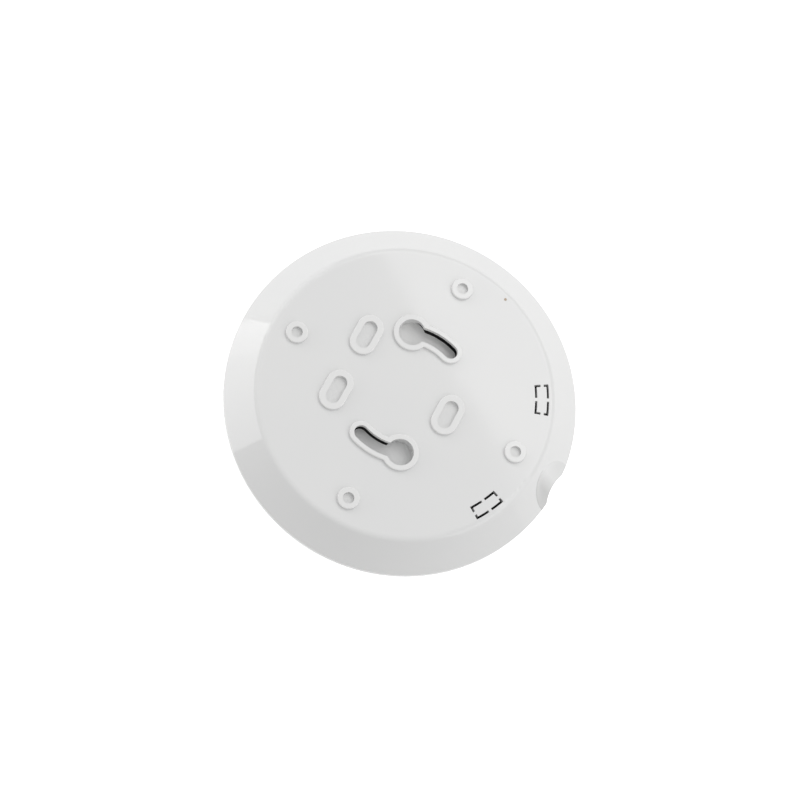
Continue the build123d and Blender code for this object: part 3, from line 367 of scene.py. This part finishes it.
FINISHES = {
    # the glossy white back carries a painted rim highlight and painted shade in the finger scoop, as well as
    # a burnt speck
    "gloss_white_abs": moulded_plastic("glossy_white_abs", (0.80, 0.80, 0.795), (0.785, 0.787, 0.785),
                                       0.05, 0.10, scuffs=0.3, dust=0.10, bump=0.000008,
                                       speck_and_painted_light=True),
    "satin_white_abs": moulded_plastic("satin_white_abs", (0.77, 0.77, 0.76), (0.74, 0.74, 0.725),
                                       0.38, 0.48, grain=3200.0, scuffs=0.3, dust=0.25),
    # on the rear housing this black is painted shade: its tray, seen through the keyholes and knock-outs, is
    # black so as to read as the dark hollow under the back
    "black_abs": moulded_plastic("black_abs", (0.018, 0.018, 0.020), (0.026, 0.026, 0.028),
                                 0.45, 0.60, grain=2600.0, scuffs=0.6, dust=0.5),
    "solder_resist": board_laminate("green_solder_resist"),
    "chip_epoxy": moulded_plastic("chip_epoxy", (0.020, 0.020, 0.022), (0.032, 0.032, 0.034),
                                  0.50, 0.62, grain=5200.0, scuffs=0.3, dust=0.3),
    "tinned_metal": metal("tinned_copper", (0.74, 0.74, 0.71), (0.58, 0.57, 0.53), 0.25),
    "capacitor_sleeve": moulded_plastic("capacitor_sleeve", (0.012, 0.016, 0.045), (0.018, 0.024, 0.06),
                                        0.24, 0.34, grain=2400.0, scuffs=0.4, dust=0.3),
    "film_box": moulded_plastic("film_capacitor_case", (0.46, 0.075, 0.02), (0.38, 0.06, 0.018),
                                0.30, 0.42, grain=2600.0, scuffs=0.3, dust=0.3),
    "ferrite": moulded_plastic("sintered_ferrite", (0.050, 0.049, 0.047), (0.085, 0.082, 0.078),
                               0.60, 0.74, ripple=2.0, grain=6400.0, scuffs=0.2, dust=0.4, bump=0.00006),
    "copper_winding": wound_copper("copper_winding"),
    "cell_can": metal("nickel_plated_can", (0.74, 0.73, 0.70), (0.60, 0.59, 0.56), 0.20, (1, 30, 1), 120.0),
    "cell_sleeve": moulded_plastic("cell_sleeve", (0.035, 0.11, 0.27), (0.028, 0.09, 0.23),
                                   0.22, 0.32, ripple=2.0, scuffs=0.4, dust=0.2),
    "spring_steel": metal("spring_steel", (0.60, 0.60, 0.61), (0.44, 0.43, 0.42), 0.24, (1, 1, 8), 400.0),
    "zinc_steel": metal("zinc_plated_steel", (0.68, 0.70, 0.72), (0.55, 0.56, 0.53), 0.28),
    "screen_steel": metal("etched_stainless", (0.52, 0.53, 0.54), (0.42, 0.42, 0.42), 0.34),
    "shield_tin": metal("tinplate", (0.72, 0.72, 0.70), (0.60, 0.60, 0.57), 0.26, (20, 1, 1), 160.0),
    "infrared_lens": moulded_plastic("infrared_lens", (0.020, 0.008, 0.035), (0.028, 0.012, 0.045),
                                     0.08, 0.16, scuffs=0.2, dust=0.2),
    "clear_lens": clear_plastic("clear_acrylic", (0.94, 0.95, 0.95), 0.05),
    "led_lens": clear_plastic("red_led_lens", (0.75, 0.05, 0.035), 0.08),
    "piezo_brass": metal("rolled_brass", (0.78, 0.56, 0.22), (0.58, 0.39, 0.14), 0.22, (1, 24, 1), 140.0),
    "ceramic_silver": moulded_plastic("silvered_ceramic", (0.62, 0.61, 0.58), (0.50, 0.49, 0.46),
                                      0.40, 0.55, grain=4200.0, scuffs=0.4, dust=0.3),
    "lead_sleeve": moulded_plastic("lead_insulation", (0.42, 0.016, 0.012), (0.34, 0.012, 0.010),
                                   0.34, 0.44, grain=3000.0, scuffs=0.3, dust=0.3),
}

for entry in frame["record"]["subparts"]:
    mesh = nodes[entry["node"]].data
    mesh.materials.clear()
    mesh.materials.append(FINISHES[entry["material_slot"]])

# ---------------------------------------------------------------------------
# Pieces worked out as surfaces
# ---------------------------------------------------------------------------

DRIVE_REACH = 0.62  # half length of the cross recess over the head's radius
DRIVE_DEPTH = 0.5  # depth of the recess over the head's height
DRIVE_WIDTH = 0.16  # half width of the recess over the head's radius
HEAD_EDGE = 0.12  # drop of the head's rounded edge over its radius
THREAD_DEPTH = 0.16  # depth of the thread over the shank's radius
SPRING_WIRE = 0.3 * MM  # radius
SPRING_TURNS = 7
CLOSED_SHARE = 0.14  # share of the spring's length in the flat turn at each end
WINDING_WIRE = 0.24 * MM  # radius
LEAD_OFFSET = 1.25 * MM  # of a capacitor's leads from its middle
PAD_OFFSET = 0.3 * MM  # of a solder fillet past the end of its resistor


def lattice_faces(rows, columns, closed):
    """Quads between the neighbouring points of a grid, whose columns may close on themselves."""
    across = columns if closed else columns - 1
    row, column = np.meshgrid(np.arange(rows - 1), np.arange(across), indexing="ij")
    following = (column + 1) % columns
    corners = (row * columns + column, row * columns + following,
               (row + 1) * columns + following, (row + 1) * columns + column)
    return np.stack(corners, -1).reshape(-1, 4)


def join_surfaces(surfaces):
    """Stack several (points, faces) pairs into one."""
    starts = np.cumsum([0] + [len(points) for points, _ in surfaces[:-1]])
    points = np.concatenate([points for points, _ in surfaces])
    faces = [face for (_, part), start in zip(surfaces, starts) for face in (part + start).tolist()]
    return points, faces


def make_piece(name, surfaces, node, body, slot):
    """Mesh object from surfaces, with outward faces, smooth shading and the finish of a slot."""
    points, faces = join_surfaces(surfaces)
    mesh = bpy.data.meshes.new(name)
    mesh.from_pydata(points.tolist(), [], faces)
    mesh.update()
    shape = bmesh.new()
    shape.from_mesh(mesh)
    bmesh.ops.remove_doubles(shape, verts=shape.verts, dist=WELD)
    bmesh.ops.dissolve_degenerate(shape, edges=shape.edges, dist=WELD)
    bmesh.ops.recalc_face_normals(shape, faces=shape.faces)
    shape.to_mesh(mesh)
    shape.free()
    mesh.polygons.foreach_set("use_smooth", np.ones(len(mesh.polygons), bool))
    mesh.set_sharp_from_angle(angle=SHARP_ANGLE)
    mesh.materials.append(FINISHES[slot])
    piece = bpy.data.objects.new(name, mesh)
    bpy.context.scene.collection.objects.link(piece)
    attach(piece, body)
    if node:
        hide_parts(node)
    return piece


def turned(profile, centre, around=48):
    """Surface of revolution: radius and height along a profile, carried round the Z axis through a centre."""
    radius, height = np.asarray(profile, float).T
    angle = np.linspace(0, 2 * np.pi, around, endpoint=False)
    x = centre[0] + radius[:, None] * np.cos(angle)
    y = centre[1] + radius[:, None] * np.sin(angle)
    z = np.broadcast_to(height[:, None], x.shape)
    return np.stack((x, y, z), -1).reshape(-1, 3), lattice_faces(len(radius), around, True)


def coiled_wire(centre, radius, wire, turn_at, height_at, steps, around=12):
    """Round wire along a helix: the angle and the height are functions of the share of its length.

    A point is the helix's point, plus the wire's radius times the cosine along the outward radius and the
    sine along the binormal. The first and last rings shrink to a point, which closes the ends."""
    share = np.linspace(0, 1, steps)
    angle, height = turn_at(share), height_at(share)
    path = np.stack((centre[0] + radius * np.cos(angle), centre[1] + radius * np.sin(angle), height), -1)
    along = np.gradient(path, axis=0)
    along /= np.linalg.norm(along, axis=1, keepdims=True)
    outward = np.stack((np.cos(angle), np.sin(angle), np.zeros(steps)), -1)
    binormal = np.cross(along, outward)
    ring = np.linspace(0, 2 * np.pi, around, endpoint=False)
    thickness = np.where((share == 0) | (share == 1), 0.0, wire)[:, None, None]
    points = (path[:, None] + thickness * (np.cos(ring)[:, None] * outward[:, None]
                                           + np.sin(ring)[:, None] * binormal[:, None]))
    return points.reshape(-1, 3), lattice_faces(steps, around, True)


def threaded_shank(centre, tip, top, radius, pitch, depth, around=40, rows_per_turn=8):
    """Screw thread: the radius dips by a triangle wave of the height less the helix's rise at that angle.

    The first rows taper to the point, and the last close under the head."""
    up = 1.0 if top > tip else -1.0
    length = abs(top - tip)
    rows = max(int(length / pitch * rows_per_turn), 2)
    share = np.linspace(0, 1, rows)[:, None]
    angle = np.linspace(0, 2 * np.pi, around, endpoint=False)[None, :]
    phase = (share * length / pitch - up * angle / (2 * np.pi)) % 1.0
    crest = 1.0 - np.abs(2 * phase - 1.0)
    taper = np.clip(share * length / (2 * radius), 0.0, 1.0)
    local = (radius - depth * (1.0 - crest)) * np.where(share == 0, 0.0, 0.25 + 0.75 * taper)
    local = np.where(share == 1, 0.0, local)
    x, y = centre[0] + local * np.cos(angle), centre[1] + local * np.sin(angle)
    z = np.broadcast_to(tip + up * share * length, x.shape)
    return np.stack((x, y, z), -1).reshape(-1, 3), lattice_faces(rows, around, True)


def driven_head(centre, seat, outer, root, rim, recess, bar, around=96, rings=28):
    """Screw head with a cross recess: a disc of rings whose height sinks smoothly inside the cross.

    The depth is the recess times a smooth step of the distance into either bar of the cross, and the sides
    run from the root radius at the seat to the rim."""
    up = 1.0 if outer > seat else -1.0
    share = np.linspace(0, 1, rings)[:, None]
    angle = np.linspace(0, 2 * np.pi, around, endpoint=False)[None, :]
    radius = np.broadcast_to(rim * share, (rings, around))
    x, y = radius * np.cos(angle), radius * np.sin(angle)
    reach = rim * DRIVE_REACH
    in_first = np.minimum(bar - np.abs(y), reach - np.abs(x))
    in_second = np.minimum(bar - np.abs(x), reach - np.abs(y))
    into = np.clip(np.maximum(in_first, in_second) / (bar * 0.6) + 0.3, 0.0, 1.0)
    sink = recess * into * into * (3 - 2 * into)
    edge = np.clip((share - 0.9) / 0.1, 0.0, 1.0) ** 2 * HEAD_EDGE * rim
    z = outer - up * (sink + edge)
    side = np.linspace(1, 0, 6)[:, None]
    side_radius = np.where(side == 0, root, root + (rim - root) * side) * np.ones_like(angle)
    side_z = seat + (outer - up * HEAD_EDGE * rim - seat) * side * np.ones_like(angle)
    closed_x, closed_z = np.zeros((1, around)), np.full((1, around), seat)
    all_x = np.concatenate((x, side_radius * np.cos(angle), closed_x)) + centre[0]
    all_y = np.concatenate((y, side_radius * np.sin(angle), closed_x)) + centre[1]
    all_z = np.concatenate((z, side_z, closed_z))
    points = np.stack((all_x, all_y, all_z), -1).reshape(-1, 3)
    return points, lattice_faces(rings + 7, around, True)


def island_boxes(node):
    """Lowest and highest corners of each separate solid of a CAD node."""
    shape = bmesh.new()
    shape.from_mesh(nodes[node].data)
    bmesh.ops.remove_doubles(shape, verts=shape.verts, dist=WELD)
    left, boxes = set(shape.verts), []
    while left:
        front, island = [left.pop()], []
        while front:
            vert = front.pop()
            island.append(vert.co.copy())
            near = [edge.other_vert(vert) for edge in vert.link_edges]
            fresh = [other for other in near if other in left]
            left.difference_update(fresh)
            front.extend(fresh)
        corners = np.array(island)
        boxes.append((corners.min(0), corners.max(0)))
    shape.free()
    return sorted(boxes, key=lambda box: (round(box[0][0], 5), round(box[0][1], 5)))


def screws(node, head_up, flush, pitch, head_height, shank_share):
    """Threaded screws in place of a node's plain ones: the heads at the top or at the bottom of each."""
    surfaces = []
    for low, high in island_boxes(node):
        centre = (low[:2] + high[:2]) / 2
        rim = (high[0] - low[0]) / 2
        shank = rim * shank_share
        outer, tip = (high[2], low[2]) if head_up else (low[2], high[2])
        seat = outer - head_height if head_up else outer + head_height
        surfaces.append(threaded_shank(centre, tip, seat, shank, pitch, shank * THREAD_DEPTH))
        root = shank if flush else rim
        surfaces.append(driven_head(centre, seat, outer, root, rim, head_height * DRIVE_DEPTH,
                                    rim * DRIVE_WIDTH))
    make_piece("threaded_" + node, surfaces, node, "head", "zinc_steel")


screws("case_screws", True, True, 0.9 * MM, 1.2 * MM, 0.5)
screws("bridge_screws", True, False, 0.6 * MM, 1.0 * MM, 0.47)
screws("board_screws", False, False, 0.7 * MM, 1.4 * MM, 0.5)

# spring: closed at both ends, with even coils between them
spring_low, spring_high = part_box("button_spring")
spring_middle = (spring_low + spring_high) / 2
spring_mean = (spring_high[0] - spring_low[0]) / 2 - SPRING_WIRE


def spring_height(share):
    """Height along the spring: a flat turn at each end, and a smooth even climb between."""
    climb = np.clip((share - CLOSED_SHARE) / (1 - 2 * CLOSED_SHARE), 0.0, 1.0)
    first = np.clip(share / CLOSED_SHARE, 0, 1)
    last = np.clip((share - 1 + CLOSED_SHARE) / CLOSED_SHARE, 0, 1)
    low, high = spring_low[2] + SPRING_WIRE, spring_high[2] - SPRING_WIRE
    dead = 2.1 * SPRING_WIRE
    return low + dead * first + (high - low - 2 * dead) * climb + dead * last


spring = make_piece("wound_button_spring",
                    [coiled_wire(spring_middle, spring_mean, SPRING_WIRE,
                                 lambda share: share * SPRING_TURNS * 2 * np.pi, spring_height, 520)],
                    "button_spring", "head", "spring_steel")
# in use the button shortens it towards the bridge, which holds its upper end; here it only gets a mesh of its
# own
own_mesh(spring)

# winding: one layer of close turns over a dark core
winding_low, winding_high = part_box("inductor_winding")
winding_middle = (winding_low + winding_high) / 2
winding_outer = (winding_high[0] - winding_low[0]) / 2
winding_turns = int((winding_high[2] - winding_low[2]) / (2 * WINDING_WIRE)) - 1
winding_radius = winding_outer - WINDING_WIRE
inner = winding_outer - 3.2 * WINDING_WIRE
bed = [(0, winding_low[2]), (inner, winding_low[2]), (inner, winding_high[2]), (0, winding_high[2])]
make_piece("wound_inductor",
           [coiled_wire(winding_middle, winding_radius, WINDING_WIRE,
                        lambda share: share * winding_turns * 2 * np.pi,
                        lambda share: winding_low[2] + WINDING_WIRE + share * (
                            winding_high[2] - winding_low[2] - 2 * WINDING_WIRE), 900, 10),
            turned(bed, winding_middle)],
           "inductor_winding", "head", "copper_winding")

# solder: a small cone at each end of each chip resistor, and round the capacitors' leads under the board
board_low, board_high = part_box("circuit_board")


def solder_cone(x, y, surface, height, radius):
    """Solder fillet: the radius falls with the square of the share of its height, down to a rounded tip."""
    share = np.linspace(0, 1, 9)
    profile = np.stack((radius * (1 - share) ** 1.6, surface + height * share), -1)
    base = [(0.0, surface)]
    return turned(np.concatenate((base, profile)), (x, y), 20)


joints = []
for low, high in island_boxes("chip_resistors"):
    middle = (low + high) / 2
    for x in (low[0] - PAD_OFFSET, high[0] + PAD_OFFSET):
        joints.append(solder_cone(x, middle[1], board_high[2], 0.45 * MM, 0.55 * MM))
chamber_low, chamber_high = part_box("chamber_base")
chamber_middle = (chamber_low + chamber_high) / 2
chamber_reach = (chamber_high[1] - chamber_low[1]) / 2
for low, high in island_boxes("capacitors"):
    middle = (low + high) / 2
    if math.hypot(middle[0] - chamber_middle[0], middle[1] - chamber_middle[1]) < chamber_reach:
        continue  # its leads are trimmed flush, because the chamber's base lies against the board
    for x in (middle[0] - LEAD_OFFSET, middle[0] + LEAD_OFFSET):
        joints.append(solder_cone(x, middle[1], board_low[2], -0.9 * MM, 0.8 * MM))
make_piece("solder_joints", joints, None, "head", "tinned_metal")

# ---------------------------------------------------------------------------
# Stage, lights and camera
# ---------------------------------------------------------------------------


def plain_floor(height, radius):
    """Round pale floor. It glows only for what is seen or mirrored, so that it reads white without lighting
    the object from below, and its lower side is clear."""
    angle = np.linspace(0, 2 * np.pi, 96, endpoint=False)
    rim = np.stack((radius * np.cos(angle), radius * np.sin(angle), np.full(96, height)), -1)
    mesh = bpy.data.meshes.new("floor")
    mesh.from_pydata(rim.tolist(), [], [list(range(96))])
    floor = bpy.data.objects.new("floor", mesh)
    bpy.context.scene.collection.objects.link(floor)
    material = bpy.data.materials.new("floor_white")
    material.use_nodes = True
    tree = material.node_tree
    shader = tree.nodes["Principled BSDF"]
    shader.inputs["Base Color"].default_value = (0.82, 0.82, 0.82, 1)
    shader.inputs["Roughness"].default_value = 0.9
    shader.inputs["Specular IOR Level"].default_value = 0.0
    shader.inputs["Emission Color"].default_value = (1, 1, 1, 1)
    path = tree.nodes.new("ShaderNodeLightPath")
    shown = calculate(tree, "MAXIMUM", path.outputs["Is Camera Ray"], path.outputs["Is Glossy Ray"])
    tree.links.new(calculate(tree, "MULTIPLY", shown, FLOOR_GLOW), shader.inputs["Emission Strength"])
    clear = tree.nodes.new("ShaderNodeBsdfTransparent")
    mix = tree.nodes.new("ShaderNodeMixShader")
    tree.links.new(tree.nodes.new("ShaderNodeNewGeometry").outputs["Backfacing"], mix.inputs["Fac"])
    tree.links.new(shader.outputs["BSDF"], mix.inputs[1])
    tree.links.new(clear.outputs["BSDF"], mix.inputs[2])
    tree.links.new(mix.outputs["Shader"], tree.nodes["Material Output"].inputs["Surface"])
    mesh.materials.append(material)


def studio_world(light, backdrop):
    """Even light all round, and a white backdrop where the camera sees past the floor."""
    world = bpy.data.worlds.new("studio")
    world.use_nodes = True
    tree = world.node_tree
    path = tree.nodes.new("ShaderNodeLightPath")
    strength = spread(tree, path.outputs["Is Camera Ray"], 0.0, 1.0, light, backdrop)
    background = tree.nodes["Background"]
    background.inputs["Color"].default_value = (1, 1, 1, 1)
    tree.links.new(strength, background.inputs["Strength"])
    bpy.context.scene.world = world


def soft_box(name, place, aim, size, radiance, turn=0.0):
    """Rectangular soft light at a place, facing an aim, turned about its own axis; its power follows from
    its area and radiance."""
    light = bpy.data.lights.new(name, "AREA")
    light.shape = "RECTANGLE"
    light.size, light.size_y = size
    light.energy = radiance * math.pi * size[0] * size[1]
    lamp = bpy.data.objects.new(name, light)
    facing = (Vector(aim) - Vector(place)).to_track_quat("-Z", "Y").to_matrix().to_4x4()
    lamp.matrix_world = Matrix.Translation(place) @ facing @ Matrix.Rotation(math.radians(turn), 4, "Z")
    lamp.visible_camera = False
    bpy.context.scene.collection.objects.link(lamp)


def round_about(azimuth, elevation, distance):
    """Place at a distance from the origin, by azimuth from +X towards +Y and elevation, in degrees."""
    a, e = math.radians(azimuth), math.radians(elevation)
    return Vector((math.cos(a) * math.cos(e), math.sin(a) * math.cos(e), math.sin(e))) * distance


FLOOR_GLOW = 0.6
FLOOR_GAP = 0.1 * MM
WORLD_LIGHT = 0.59
BACKDROP = 1.05

plain_floor(cad_box[0][2] - FLOOR_GAP, 40.0)
studio_world(WORLD_LIGHT, BACKDROP)

# the overhead box's long edge is mirrored across the flat back as a faint slanting line
OVERHEAD_HEIGHT = 1.0
OVERHEAD_EDGE = Vector((0.03, 0.34, OVERHEAD_HEIGHT))  # a point of that edge
OVERHEAD_TURN = -31.3
OVERHEAD_SIZE = (1.3, 0.85)
inward = Matrix.Rotation(math.radians(OVERHEAD_TURN), 4, "Z") @ Vector((0, OVERHEAD_SIZE[1] / 2, 0))
overhead_place = OVERHEAD_EDGE + inward
soft_box("overhead", overhead_place, overhead_place - Vector((0, 0, 1)), OVERHEAD_SIZE, 1.6, OVERHEAD_TURN)
# a low window to the left, mirrored in the skirt as a bright sector with clear ends, and two soft fills
soft_box("left_window", round_about(191.5, 4.6, 0.45), (0, 0, 0), (0.43, 0.15), 1.9)
soft_box("left_fill", round_about(150, 25, 0.8), (0, 0, 0), (0.5, 0.4), 1.1)
soft_box("right_fill", round_about(350, 30, 0.8), (0, 0, 0), (0.6, 0.5), 1.0)

CAMERA_AIM = Vector((-0.0005, -0.0033, 0.0))
CAMERA_DISTANCE = 0.792
CAMERA_AZIMUTH = 1.74
CAMERA_ELEVATION = 73.11
CAMERA_ROLL = 30.4
LENS = 117.0

lens = bpy.data.cameras.new("camera")
lens.lens = LENS
lens.sensor_width = 36.0
camera = bpy.data.objects.new("camera", lens)
azimuth, elevation = math.radians(CAMERA_AZIMUTH), math.radians(CAMERA_ELEVATION)
look = Vector((math.sin(azimuth) * math.cos(elevation), math.cos(azimuth) * math.cos(elevation),
               -math.sin(elevation)))
level = look.to_track_quat("-Z", "Y").to_matrix().to_4x4()
camera.matrix_world = (Matrix.Translation(CAMERA_AIM - look * CAMERA_DISTANCE) @ level
                       @ Matrix.Rotation(math.radians(CAMERA_ROLL), 4, "Z"))
bpy.context.scene.collection.objects.link(camera)
bpy.context.scene.camera = camera
bpy.context.scene.view_settings.view_transform = "Standard"
